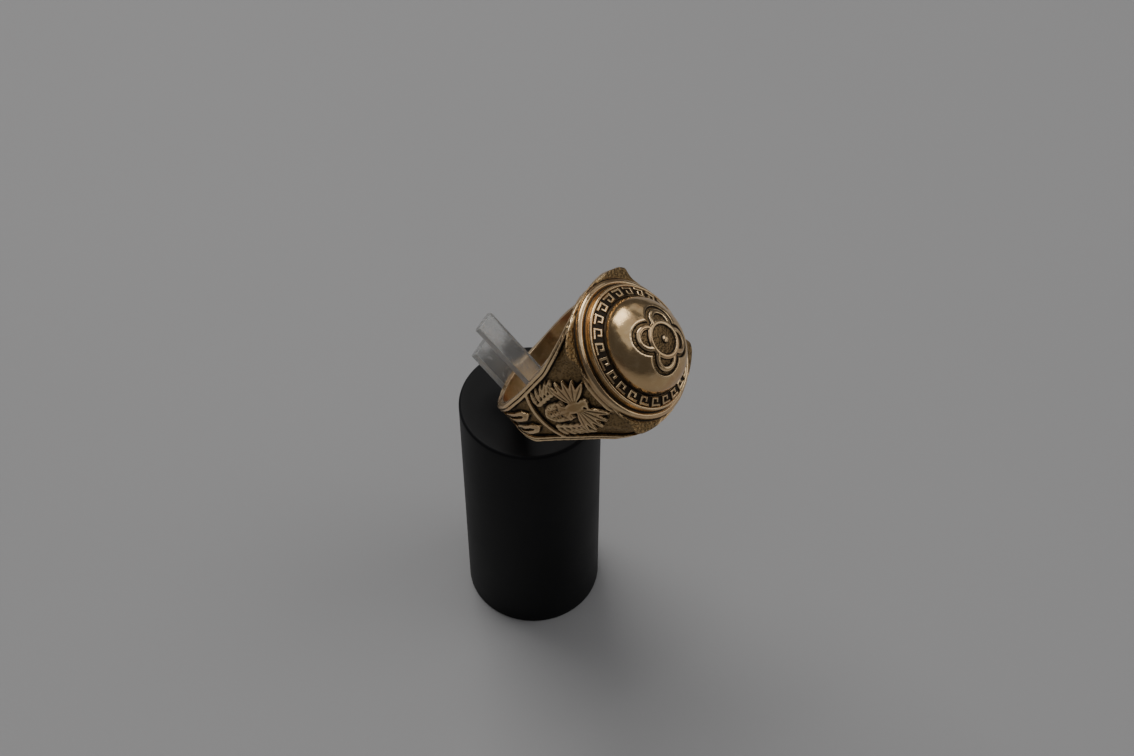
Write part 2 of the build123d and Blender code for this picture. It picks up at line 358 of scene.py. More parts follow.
@dataclass(frozen=True)
class ClearPlastic:
    """Clear plastic with scuffed faces and rough sawn ends."""

    tint: Colour = (0.975, 0.980, 0.972)
    scuffed: Colour = (0.80, 0.83, 0.84)
    frost: tuple[Colour, Colour] = ((0.72, 0.73, 0.72), (0.93, 0.93, 0.92))
    refraction: float = 1.49
    chip_depth: float = 0.06
    scuff_depth: float = 0.02

    def material(self, name: str) -> Material:
        """Builds the clear material.

        Args:
            name: The material's name.

        Returns:
            The material.
        """
        bench = Bench(name)
        cut = bench.attribute("cut")
        edge = bench.attribute("edge")
        streak = bench.noise(900, 4.0, 0.6, (1.0, 1.0, 0.35))
        scuff = streak.ramp(0.50, 0.68)
        chips = bench.noise(2600, 4.0, 0.65)
        normal = bench.bump(chips * cut, self.chip_depth, bench.bump(streak, self.scuff_depth))
        clear = bench.node("ShaderNodeBsdfPrincipled", None, {
            "Base Color": bench.blend(scuff * 0.35, self.tint, self.scuffed),
            "Roughness": 0.03 + scuff * 0.09 + cut * 0.22 + edge * 0.05,
            "Transmission Weight": 1.0,
            "IOR": self.refraction,
            "Normal": normal,
        })
        frost = bench.node("ShaderNodeBsdfPrincipled", None, {
            "Base Color": bench.blend(chips, *self.frost),
            "Roughness": 0.35,
            "Normal": normal,
        })
        share = (0.05 + cut * 0.22 + edge * 0.32 + scuff * 0.13).at_most(0.6)
        bench.node_out(bench.node("ShaderNodeMixShader", None, {0: share, 1: clear, 2: frost}))
        return bench.material


@dataclass(frozen=True)
class GreyPaper:
    """Seamless pale grey surface under the stand."""

    tone: Colour = (0.465, 0.465, 0.472)
    cloud_gain: float = 1.06
    tooth_depth: float = 0.02

    def material(self, name: str) -> Material:
        """Builds the floor's material.

        Args:
            name: The material's name.

        Returns:
            The material.
        """
        bench = Bench(name)
        cloud = bench.noise(9, 3.0)
        tooth = bench.noise(2200, 3.0)
        lighter = tuple(channel * self.cloud_gain for channel in self.tone)
        return bench.finish({
            "Base Color": bench.blend(cloud, self.tone, lighter),
            "Roughness": 0.62 + tooth * 0.1,
            "Normal": bench.bump(tooth, self.tooth_depth),
        })


def ease(low: float, high: float, value: Array) -> Array:
    """Rises smoothly from 0 at low to 1 at high, also where low is the larger."""
    share = np.clip((value - low) / (high - low), 0.0, 1.0)
    return share * share * (3.0 - 2.0 * share)


def rows_of(items: Any, key: str, width: int, kind: type = float) -> Array:
    """Reads a property of a mesh's points, edges or faces, one row each.

    Args:
        items: The mesh's points, edges, faces or normals.
        key: The property's name.
        width: How many numbers each item has.
        kind: The kind of number.

    Returns:
        The rows.
    """
    flat = np.empty(len(items) * width, dtype=kind)
    items.foreach_get(key, flat)
    return flat.reshape(-1, width)


def points_of(mesh: Mesh) -> Array:
    """The mesh's points, in the mesh's own unit."""
    return rows_of(mesh.vertices, "co", 3)


def edges_of(mesh: Mesh) -> Array:
    """The mesh's edges as pairs of point numbers."""
    return rows_of(mesh.edges, "vertices", 2, np.int32)


def normals_of(mesh: Mesh) -> Array:
    """The mesh's point normals."""
    return rows_of(mesh.vertex_normals, "vector", 3)


def spread(values: Array, edges: Array, rounds: int, share: float = 1.0) -> Array:
    """Averages values over neighbouring points.

    Args:
        values: One row for each point.
        edges: Pairs of point numbers.
        rounds: How often the average is taken.
        share: How far each value moves to its neighbours' average.

    Returns:
        The averaged values.
    """
    count = len(values)
    ends = np.concatenate([edges[:, 0], edges[:, 1]])
    others = np.concatenate([edges[:, 1], edges[:, 0]])
    degree = np.maximum(np.bincount(ends, minlength=count), 1)
    table = values.reshape(count, -1).copy()
    for _ in range(rounds):
        for column in range(table.shape[1]):
            mean = np.bincount(ends, table[others, column], count) / degree
            table[:, column] += (mean - table[:, column]) * share
    return table.reshape(values.shape)


def store(mesh: Mesh, values: dict[str, Array]) -> None:
    """Stores numbers on the mesh's points.

    Args:
        mesh: The mesh, which is changed.
        values: One number for each point, by the attribute's name.
    """
    for name, column in values.items():
        layer = mesh.attributes.new(name, "FLOAT", "POINT")
        layer.data.foreach_set("value", np.ascontiguousarray(column, dtype=np.float32))


def placed(name: str, data: Any) -> Object:
    """Makes an object and puts it in the scene.

    Args:
        name: The object's name.
        data: Its mesh, light or camera.

    Returns:
        The object.
    """
    made = bpy.data.objects.new(name, data)
    bpy.context.scene.collection.objects.link(made)
    return made


def piece(
    name: str, points: Array, faces: Sequence[Sequence[int]], material: Material
) -> Object:
    """Makes a smooth mesh object at the origin.

    Args:
        name: The object's name.
        points: Points in metres, one row each.
        faces: Point numbers of each face.
        material: The object's material.

    Returns:
        The object.
    """
    mesh = bpy.data.meshes.new(name)
    mesh.from_pydata(points.tolist(), [], [list(map(int, f)) for f in faces])
    mesh.update()
    mesh.shade_smooth()
    mesh.materials.append(material)
    return placed(name, mesh)


def settle(made: Object, node: Optional[str] = None) -> Object:
    """Puts a finished piece on the body and hides the solid that it stands for.

    Args:
        made: The finished piece.
        node: The solid that the piece stands for, if any.

    Returns:
        The piece.
    """
    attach(made, BODY)
    if node:
        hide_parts(node)
    LOG.info("%s: %d faces", made.name, len(made.data.polygons))
    return made


def baked(made: Object) -> Mesh:
    """A plain mesh of the object with its modifiers, which are then removed.

    Args:
        made: The object.

    Returns:
        The object's new mesh.
    """
    graph = bpy.context.evaluated_depsgraph_get()
    mesh = bpy.data.meshes.new_from_object(made.evaluated_get(graph), depsgraph=graph)
    made.modifiers.clear()
    made.data = mesh
    return mesh


def turn_outwards(mesh: Mesh) -> None:
    """Turns the faces of a closed mesh outwards.

    Args:
        mesh: The mesh, which is changed.
    """
    work = bmesh.new()
    work.from_mesh(mesh)
    bmesh.ops.recalc_face_normals(work, faces=work.faces)
    work.to_mesh(mesh)
    work.free()


def mark_sharp(mesh: Mesh, degrees: float) -> None:
    """Smooths a mesh except over its sharp edges.

    Args:
        mesh: The mesh, which is changed.
        degrees: An edge that turns by more than this is sharp.
    """
    work = bmesh.new()
    work.from_mesh(mesh)
    for face in work.faces:
        face.smooth = True
    for edge in work.edges:
        edge.smooth = not edge.is_manifold or edge.calc_face_angle(0.0) < math.radians(degrees)
    work.to_mesh(mesh)
    work.free()


def lathe(profile: Array, turns: int) -> tuple[Array, list[list[int]]]:
    """Turns a closed or axis-ended profile about the up axis.

    Args:
        profile: Radius and height of each point, from the top of the axis round to its foot.
        turns: Steps round the axis.

    Returns:
        Points as side, side and height, and the faces.
    """
    angles = np.linspace(0, 2 * math.pi, turns, endpoint=False)
    points: list[Array] = []
    rows: list[list[int]] = []
    count = 0
    for radius, height in profile:
        if radius < TINY:
            points.append(np.array([[0.0, 0.0, height]]))
            rows.append([count] * turns)
            count += 1
        else:
            heights = np.full(turns, height)
            points.append(np.stack([radius * np.cos(angles), radius * np.sin(angles), heights], 1))
            rows.append(list(range(count, count + turns)))
            count += turns
    faces = []
    for upper, lower in zip(rows, rows[1:]):
        for step in range(turns):
            after = (step + 1) % turns
            corners = [upper[step], lower[step], lower[after], upper[after]]
            faces.append(list(dict.fromkeys(corners)))
    return np.concatenate(points), faces


def arc(centre: Pair, radius: float, start: float, end: float, count: int) -> Array:
    """Points on an arc, from one angle to another in degrees from the first axis."""
    angles = np.radians(np.linspace(start, end, count))
    return np.stack([centre[0] + radius * np.cos(angles), centre[1] + radius * np.sin(angles)], 1)


@dataclass(frozen=True)
class RingPose:
    """Where the ring leans: up is towards its dome, across is along the finger, side is to the far side."""

    lean: float = 45.0
    centre: Place = (5.05, 0.0, 49.05)
    oval_across: float = 1.048
    oval_side: float = 0.954

    @property
    def up(self) -> Array:
        """Direction from the hoop's centre to the dome."""
        return np.array([math.cos(math.radians(self.lean)), 0.0, math.sin(math.radians(self.lean))])

    @property
    def across(self) -> Array:
        """Direction along the finger."""
        return np.array([-math.sin(math.radians(self.lean)), 0.0, math.cos(math.radians(self.lean))])

    def to_ring(self, points: Array) -> Array:
        """Turns row points in millimetres into up, across and side."""
        away = points - np.array(self.centre)
        return np.stack([away @ self.up, away @ self.across, away[:, 1]], 1)

    def round_of(self, ring: Array) -> Array:
        """Distance of each point from the dome's axis, measured so that the oval head is round."""
        return np.hypot(ring[:, 1] / self.oval_across, ring[:, 2] / self.oval_side)

    def to_row(self, ring: Array) -> Array:
        """Turns up, across and side into row points in metres.

        Args:
            ring: Up, across and side of each point, in millimetres.

        Returns:
            Row points in metres.
        """
        side = np.array([0.0, 1.0, 0.0])
        away = np.outer(ring[:, 0], self.up) + np.outer(ring[:, 1], self.across) + np.outer(ring[:, 2], side)
        return (away + np.array(self.centre)) * MM


@dataclass(frozen=True)
class BandSlope:
    """The plain cone under the ornament band: radius and height up of its foot and of its top."""

    foot: Pair = (7.55, 14.78)
    top: Pair = (6.25, 15.36)

    def over(self, pose: RingPose, ring: Array) -> Array:
        """Height of each point over the cone, along the dome's axis."""
        share = (pose.round_of(ring) - self.foot[0]) / (self.top[0] - self.foot[0])
        return ring[:, 0] - (self.foot[1] + (self.top[1] - self.foot[1]) * share)


@dataclass(frozen=True)
class Leaf:
    """One leaf or feather on a side panel, from its stem."""

    up: float
    across: float
    turn: float
    length: float
    rib: float = 0.07


@dataclass
class CastHoop:
    """The ring's casting: hoop, side panels with their relief, collar and band."""

    pose: RingPose
    slope: BandSlope = BandSlope()
    voxel: float = 0.088
    quick_voxel: float = 0.14
    soften: int = 3
    bore_radius: float = 8.25
    back_radius: float = 9.4
    shoulder_start: float = 3.0
    shoulder_rounding: float = 40.0
    bulge_radius: float = 17.5
    across_half: float = 9.5
    across_bulge: float = 14.5
    corner_radius: float = 10.5
    width_up: tuple[float, ...] = (-7.6, 1.0, 7.6, 11.2, 14.1)
    width_half: tuple[float, ...] = (1.95, 4.05, 6.1, 8.0, 10.2)
    rim_width: float = 0.8
    rim_line: float = 0.08
    low_lift: float = 0.09
    crown: float = 0.16
    nick_pitch: Pair = (0.42, 0.55)
    nick_depth: float = 0.06
    relief_end: Pair = (13.0, 12.4)
    collar_edge: float = 8.95
    crown_rounds: int = 9
    near_rounds: int = 10
    wide_rounds: int = 45
    corner_rounds: int = 66
    quick_rounds: int = 26
    sunk_depth: float = 0.16
    fine_depth: float = 0.055
    head_split: float = 12.35

    def leaves(self) -> Iterable[Leaf]:
        """The laurel leaves, wing feathers and tail feathers of a side panel, in millimetres and degrees.

        Yields:
            Each leaf or feather.
        """
        for side in (1, -1):
            for step in range(5):
                stem = (3.0 + 0.85 * step, side * (1.75 + 0.34 * step))
                yield Leaf(*stem, side * (78 - 8 * step), 2.2)
                yield Leaf(*stem, side * (14 - 8 * step), 1.35, 0.05)
            for feather, turn in enumerate((36, 55, 73, 91, 109)):
                yield Leaf(9.0 - 0.16 * feather, side * 0.6, side * turn, 3.7, 0.09)
            for turn in (155, 174):
                yield Leaf(7.3, side * 0.25, side * turn, 1.35, 0.05)

    def dense_copy(self) -> Mesh:
        """A fine even mesh of the casting, in millimetres.

        Returns:
            The mesh.
        """
        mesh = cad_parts["ring_body"].data.copy()
        work = bmesh.new()
        work.from_mesh(mesh)
        bmesh.ops.remove_doubles(work, verts=work.verts, dist=WELD)
        bmesh.ops.scale(work, vec=(1 / MM,) * 3, verts=work.verts)
        work.to_mesh(mesh)
        work.free()
        mesh.materials.clear()
        holder = placed("casting_work", mesh)
        remesh = holder.modifiers.new("even", "REMESH")
        remesh.mode = "VOXEL"
        remesh.voxel_size = self.voxel
        remesh.use_smooth_shade = True
        even = baked(holder)
        bpy.data.objects.remove(holder)
        return even

    def depth_in(self, ring: Array) -> Array:
        """How far each point lies inside the hoop's plain outer skin.

        Args:
            ring: Up, across and side of each point.

        Returns:
            Depths in millimetres.
        """
        up, across, side = ring[:, 0], ring[:, 1], np.abs(ring[:, 2])
        back = self.back_radius - np.hypot(np.minimum(up, 0.0), side)
        rise = np.maximum(up - self.shoulder_start, 0.0)
        height = self.back_radius - self.shoulder_rounding + np.sqrt(self.shoulder_rounding**2 - rise**2)
        wall = np.where(up < 0, back, height - side)
        bulge = self.bulge_radius - np.hypot(across, side + self.bulge_radius - self.back_radius)
        ends = self.across_bulge - np.hypot(np.abs(across) + self.across_bulge - self.across_half, side)
        corner = self.corner_radius - np.hypot(across, side)
        return np.minimum(np.minimum(wall, bulge), np.minimum(ends, corner))

    def carve(self, ring: Array, figure: Array) -> Array:
        """Depth of the ribs, nicks and lines cut into the relief.

        Args:
            ring: Up, across and side of each point.
            figure: 1 on the relief and 0 off it.

        Returns:
            Depths in millimetres.
        """
        up, across = ring[:, 0], ring[:, 1]
        cut = np.zeros(len(ring))
        for leaf in self.leaves():
            turn = math.radians(leaf.turn)
            along = (up - leaf.up) * math.cos(turn) + (across - leaf.across) * math.sin(turn)
            off = np.abs((across - leaf.across) * math.cos(turn) - (up - leaf.up) * math.sin(turn))
            inside = ease(0.0, 0.3, along) * ease(leaf.length, leaf.length * 0.8, along)
            cut = np.maximum(cut, leaf.rib * inside * ease(0.15, 0.0, off))
        shield = ease(3.2, 3.6, up) * ease(6.3, 6.1, up) * ease(1.5, 1.3, np.abs(across))
        rows = up / self.nick_pitch[0]
        row = np.abs(rows % 1.0 - 0.5)
        dash = np.abs((across / self.nick_pitch[1] + np.floor(rows) * 0.5) % 1.0 - 0.5)
        nicks = ease(0.22, 0.08, row) * ease(0.34, 0.2, dash)
        cut = np.maximum(cut, self.nick_depth * nicks * shield)
        return cut * figure

    def masks(self, ring: Array, mesh: Mesh) -> dict[str, Array]:
        """Numbers from 0 to 1 that the gold finish reads.

        Args:
            ring: Up, across and side of each point.
            mesh: The mesh with its final points.

        Returns:
            The masks by name.
        """
        edges = edges_of(mesh)
        points = points_of(mesh)
        normals = normals_of(mesh)
        near = spread(points, edges, self.near_rounds)
        wide = spread(points, edges, self.wide_rounds)
        sunk = np.einsum("ij,ij->i", wide - points, normals) / self.sunk_depth
        fine = np.einsum("ij,ij->i", near - points, normals) / self.fine_depth
        up, across, side = ring.T
        radius = np.hypot(up, side)
        around = np.hypot(across, side)
        # The bore: copper patches and tarnish, and a painted highlight in the gold.
        bore = ease(self.bore_radius + 0.12, self.bore_radius + 0.02, radius)
        bore *= ease(12.0, 9.5, up)
        hollow = ease(8.6, 10.5, up) * ease(7.6, 6.6, around) * ease(14.2, 13.6, up)
        outward = ease(self.bore_radius + 0.15, self.bore_radius + 0.3, radius)
        depth = self.depth_in(ring)
        panel = ease(0.22, 0.38, depth) * ease(0.8, 0.6, depth) * outward
        panel *= ease(-6.8, -6.3, up) * ease(13.2, 12.9, up)
        panel *= ease(9.1, 8.4, np.abs(across))
        corner = self.on_corner(ring)
        panel = np.maximum(panel, corner)
        band = self.on_band(ring)
        cavity = np.clip(np.maximum(sunk * 0.8, fine * 0.7), 0, 1)
        collar = ease(self.slope.foot[0], 7.7, self.pose.round_of(ring)) * ease(9.3, 9.1, around)
        cavity *= 1 - 0.15 * collar * ease(12.9, 13.2, up)
        cavity = np.maximum(cavity, band * 0.75)
        cavity = np.maximum(cavity, hollow * 0.5) * (1 - bore)
        # Convex edges, off the band: the gold paints them as a highlight.
        edge = np.clip(-fine * 1.3 - sunk * 0.4, 0, 1) * (1 - band)
        figure = self.inside_panel(ring) * ease(0.7, 0.6, depth) * outward
        return {
            "cavity": spread(cavity, edges, 1),
            "ground": spread(panel * (1 - bore), edges, 1),
            "figure": np.maximum(figure, corner),
            "edge": spread(edge, edges, 1),
            "bore": np.maximum(bore, hollow),
        }

    def on_band(self, ring: Array) -> Array:
        """1 on the band and 0 off it.

        Args:
            ring: Up, across and side of each point.

        Returns:
            The mask.
        """
        around = self.pose.round_of(ring)
        inside = ease(self.slope.foot[0] + 0.06, self.slope.foot[0] - 0.04, around)
        inside *= ease(self.slope.top[0] + 0.01, self.slope.top[0] + 0.07, around)
        return inside * ease(-0.35, -0.2, self.slope.over(self.pose, ring))

    def build(self, material: Material) -> list[Object]:
        """Makes the casting in three pieces: near side, far side and head.

        Args:
            material: The gold.

        Returns:
            The pieces.
        """
        mesh = self.dense_copy()
        edges = edges_of(mesh)
        points = points_of(mesh)
        for _ in range(self.soften):
            points = spread(points, edges, 1, 0.6)
            points = spread(points, edges, 1, -0.5)
        ring = self.pose.to_ring(points)
        radius = np.hypot(ring[:, 0], ring[:, 2])
        # The bore is brought back to its true radius.
        on_bore = ease(0.09, 0.05, np.abs(radius - self.bore_radius)) * ease(8.2, 7.6, ring[:, 0])
        for column in (0, 2):
            ring[:, column] *= 1 + on_bore * (self.bore_radius / radius - 1)
        depth = self.depth_in(ring)
        outside = ease(self.bore_radius + 0.2, self.bore_radius + 0.4, np.hypot(ring[:, 0], ring[:, 2]))
        inner_panel = self.inside_panel(ring)
        # The lowest figures rise a little, and every figure gets a rounded edge, ribs and nicks.
        below_end = ease(*self.relief_end, ring[:, 0])
        low_layer = ease(0.37, 0.27, depth) * ease(0.02, 0.14, depth)
        lift = self.low_lift * low_layer * outside * inner_panel * below_end
        depth = depth - lift
        zone = outside * below_end * ease(0.7, 0.6, depth)
        figure = zone * ease(0.34, 0.12, depth)
        body = spread(figure, edges, self.crown_rounds)
        crown = self.crown * ease(0.95, 0.45, body) * figure
        sink = (crown + self.carve(ring, figure)) * inner_panel
        outline = np.stack([np.zeros(len(ring)), np.zeros(len(ring)), np.sign(ring[:, 2])], 1)
        back = ring * np.array([1.0, 0.0, 1.0])
        back /= np.maximum(np.linalg.norm(back, axis=1, keepdims=True), TINY)
        outward = np.where(ring[:, :1] < 0, back, outline)
        # A fine line runs along the middle of each rim.
        past_edge = np.abs(ring[:, 1]) - self.half_width(ring[:, 0])
        from_line = np.abs(past_edge + self.rim_width / 2)
        groove = self.rim_line * ease(0.12, 0.04, from_line) * ease(0.2, 0.06, depth) * outside
        sink += groove * ease(-7.0, -6.4, ring[:, 0]) * ease(12.9, 12.5, ring[:, 0])
        ring = ring - outward * (sink - lift)[:, None]
        # The corners behind the collar are softened, and the band's ground is made a plain cone.
        rounds = self.corner_rounds
        soft = ease(self.collar_edge, 9.7, self.pose.round_of(ring)) * ease(11.9, 12.9, ring[:, 0])
        soft *= ease(7.2, 5.2, np.abs(ring[:, 1]))
        soft *= ease(-0.85, -1.5, np.abs(ring[:, 1]) - self.half_width(ring[:, 0]))
        ring += (spread(ring, edges, rounds) - ring) * soft[:, None]
        ring[:, 0] -= self.slope.over(self.pose, ring) * self.on_band(ring)
        mesh.vertices.foreach_set("co", (self.pose.to_row(ring) / MM).ravel())
        mesh.update()
        values = self.masks(ring, mesh)
        return self.split(mesh, ring, values, material)

    def inside_panel(self, ring: Array) -> Array:
        """1 well inside a side panel's rims and 0 on them."""
        inner = self.half_width(ring[:, 0]) - self.rim_width
        return ease(-0.02, -0.14, np.abs(ring[:, 1]) - inner)

    def half_width(self, up: Array) -> Array:
        """Half the hoop's width along the finger, by height towards the dome."""
        return np.interp(up, self.width_up, self.width_half)

    def on_corner(self, ring: Array) -> Array:
        """1 on the shoulders' corners between the collar and the rims, 0 elsewhere."""
        outside = ease(self.collar_edge, 9.25, self.pose.round_of(ring))
        outside *= ease(8.9, 8.2, np.abs(ring[:, 1]))
        return ease(12.3, 12.8, ring[:, 0]) * outside * self.inside_panel(ring)

    def split(
        self,
        mesh: Mesh,
        ring: Array,
        values: dict[str, Array],
        material: Material,
    ) -> list[Object]:
        """Cuts the casting into three pieces that share their border points and normals.

        Args:
            mesh: The whole casting, in millimetres.
            ring: Up, across and side of each point.
            values: The masks by name.
            material: The gold.

        Returns:
            The pieces.
        """
        quads = rows_of(mesh.polygons, "vertices", 4, np.int64)
        middle = ring[quads].mean(axis=1)
        head = middle[:, 0] > self.head_split
        groups = {
            "ring_head": head,
            "ring_hoop_near": ~head & (middle[:, 2] < 0),
            "ring_hoop_far": ~head & (middle[:, 2] >= 0),
        }
        normals = normals_of(mesh)
        points = self.pose.to_row(ring)
        made = []
        for name, chosen in groups.items():
            used, numbered = np.unique(quads[chosen], return_inverse=True)
            part = piece(name, points[used], numbered.reshape(-1, 4), material)
            store(part.data, {key: column[used] for key, column in values.items()})
            part.data.normals_split_custom_set_from_vertices(normals[used].tolist())
            made.append(settle(part, "ring_body"))
        bpy.data.meshes.remove(mesh)
        return made


@dataclass
class OrnamentBand:
    """Meander units in relief on the sloping band round the dome."""

    pose: RingPose
    slope: BandSlope = BandSlope()
    count: int = 24
    height: float = 0.17
    root: float = 0.12
    bevel: float = 0.035
    bars: tuple[tuple[Pair, Pair], ...] = (
        ((0.00, 0.085), (0.773, 0.27)),
        ((0.00, 0.085), (0.160, 0.87)),
        ((0.00, 0.70), (0.587, 0.87)),
        ((0.433, 0.438), (0.587, 0.87)),
    )

    def unit(self) -> Mesh:
        """One hooked unit on the cone, with the dome's axis upright, in metres.

        Returns:
            The unit's mesh.
        """
        work = bmesh.new()
        for low, high in self.bars:
            self.bar(work, low, high)
        mesh = bpy.data.meshes.new("meander_unit")
        work.to_mesh(mesh)
        work.free()
        return mesh

    def bar(self, work: bmesh.types.BMesh, low: Pair, high: Pair) -> None:
        """Adds one bevelled bar of a unit.

        Args:
            work: The unit's mesh so far.
            low: Lower corner, as shares of the pitch and of the slope.
            high: Upper corner, as shares of the pitch and of the slope.
        """
        levels = ((-self.root, 0.0), (self.height * 0.72, 0.0), (self.height, self.bevel))
        rows = []
        for lift, inset in levels:
            row = []
            for turn, rise in ((0, 0), (1, 0), (1, 1), (0, 1)):
                along = (low[0] + inset) if turn == 0 else (high[0] - inset)
                slant = (low[1] + inset) if rise == 0 else (high[1] - inset)
                row.append(work.verts.new(self.place(along, slant, lift)))
            rows.append(row)
        for lower, upper in zip(rows, rows[1:]):
            for step in range(4):
                after = (step + 1) % 4
                work.faces.new((lower[step], lower[after], upper[after], upper[step]))
        work.faces.new(rows[-1])
        work.faces.new(rows[0][::-1])

    def place(self, along: float, share: float, lift: float) -> Vector:
        """A point on the cone, with the dome's axis upright.

        Args:
            along: Share of the unit's pitch round the dome's axis.
            share: Share of the way up the slope.
            lift: Distance off the slope.

        Returns:
            The point in metres.
        """
        (foot, low), (top, high) = self.slope.foot, self.slope.top
        length = math.hypot(top - foot, high - low)
        angle = along * 2 * math.pi / self.count
        radius = foot + (top - foot) * share + lift * (high - low) / length
        up = low + (high - low) * share + lift * (foot - top) / length
        return Vector((radius * math.cos(angle), radius * math.sin(angle), up)) * MM

    def tree(self) -> NodeTree:
        """Geometry nodes that repeat one unit round an axis.

        Returns:
            The node group.
        """
        group = bpy.data.node_groups.new("meander_round_axis", "GeometryNodeTree")
        group.interface.new_socket("Geometry", in_out="OUTPUT", socket_type="NodeSocketGeometry")
        inputs = {
            "Unit": "Geometry", "Unit Count": "Int", "Axis": "Vector", "Centre": "Vector",
            "Turn": "Vector", "Oval": "Vector", "Finish": "Material",
        }
        for title, kind in inputs.items():
            group.interface.new_socket(title, in_out="INPUT", socket_type=f"NodeSocket{kind}")
        kinds = {
            "given": "NodeGroupInput", "result": "NodeGroupOutput", "points": "GeometryNodePoints",
            "index": "GeometryNodeInputIndex", "step": "ShaderNodeMath", "angle": "ShaderNodeMath",
            "turn": "FunctionNodeAxisAngleToRotation", "place": "GeometryNodeInstanceOnPoints",
            "real": "GeometryNodeRealizeInstances", "shift": "GeometryNodeTransform",
            "dress": "GeometryNodeSetMaterial",
        }
        nodes = {key: group.nodes.new(kind) for key, kind in kinds.items()}
        nodes["step"].operation = "DIVIDE"
        nodes["step"].inputs[0].default_value = 2 * math.pi
        nodes["angle"].operation = "MULTIPLY"
        wires = (
            ("given", "Unit Count", "points", "Count"), ("given", "Unit Count", "step", 1),
            ("index", 0, "angle", 0), ("step", 0, "angle", 1),
            ("given", "Axis", "turn", "Axis"), ("angle", 0, "turn", "Angle"),
            ("points", 0, "place", "Points"), ("given", "Unit", "place", "Instance"),
            ("turn", 0, "place", "Rotation"), ("place", 0, "real", 0), ("real", 0, "shift", "Geometry"),
            ("given", "Centre", "shift", "Translation"), ("given", "Turn", "shift", "Rotation"),
            ("given", "Oval", "shift", "Scale"), ("shift", 0, "dress", "Geometry"),
            ("given", "Finish", "dress", "Material"), ("dress", 0, "result", 0),
        )
        for source, output, target, entry in wires:
            group.links.new(nodes[source].outputs[output], nodes[target].inputs[entry])
        return group

    def build(self, material: Material) -> Object:
        """Makes the whole band of units.

        Args:
            material: The gold.

        Returns:
            The piece.
        """
        made = placed("meander_band", self.unit())
        modifier = made.modifiers.new("round", "NODES")
        modifier.node_group = self.tree()
        turned = Matrix((self.pose.across, (0.0, -1.0, 0.0), self.pose.up)).transposed()
        given = {
            "Unit Count": self.count,
            "Axis": (0.0, 0.0, 1.0),
            "Centre": tuple(np.array(self.pose.centre) * MM),
            "Turn": tuple(turned.to_euler()),
            "Oval": (self.pose.oval_across, self.pose.oval_side, 1.0),
            "Finish": material,
        }
        for item in modifier.node_group.interface.items_tree:
            if item.name in given and item.in_out == "INPUT":
                modifier[item.identifier] = given[item.name]
        mesh = baked(made)
        ring = self.pose.to_ring(points_of(mesh) / MM)
        lift = self.slope.over(self.pose, ring)
        store(mesh, {
            "cavity": ease(0.11, 0.02, lift) * 0.8,
            "ground": np.zeros(len(ring)),
            # The units' tops: the gold paints them as a highlight.
            "edge": ease(0.06, 0.15, lift) * 0.7,
            "bore": np.zeros(len(ring)),
        })
        return settle(made)


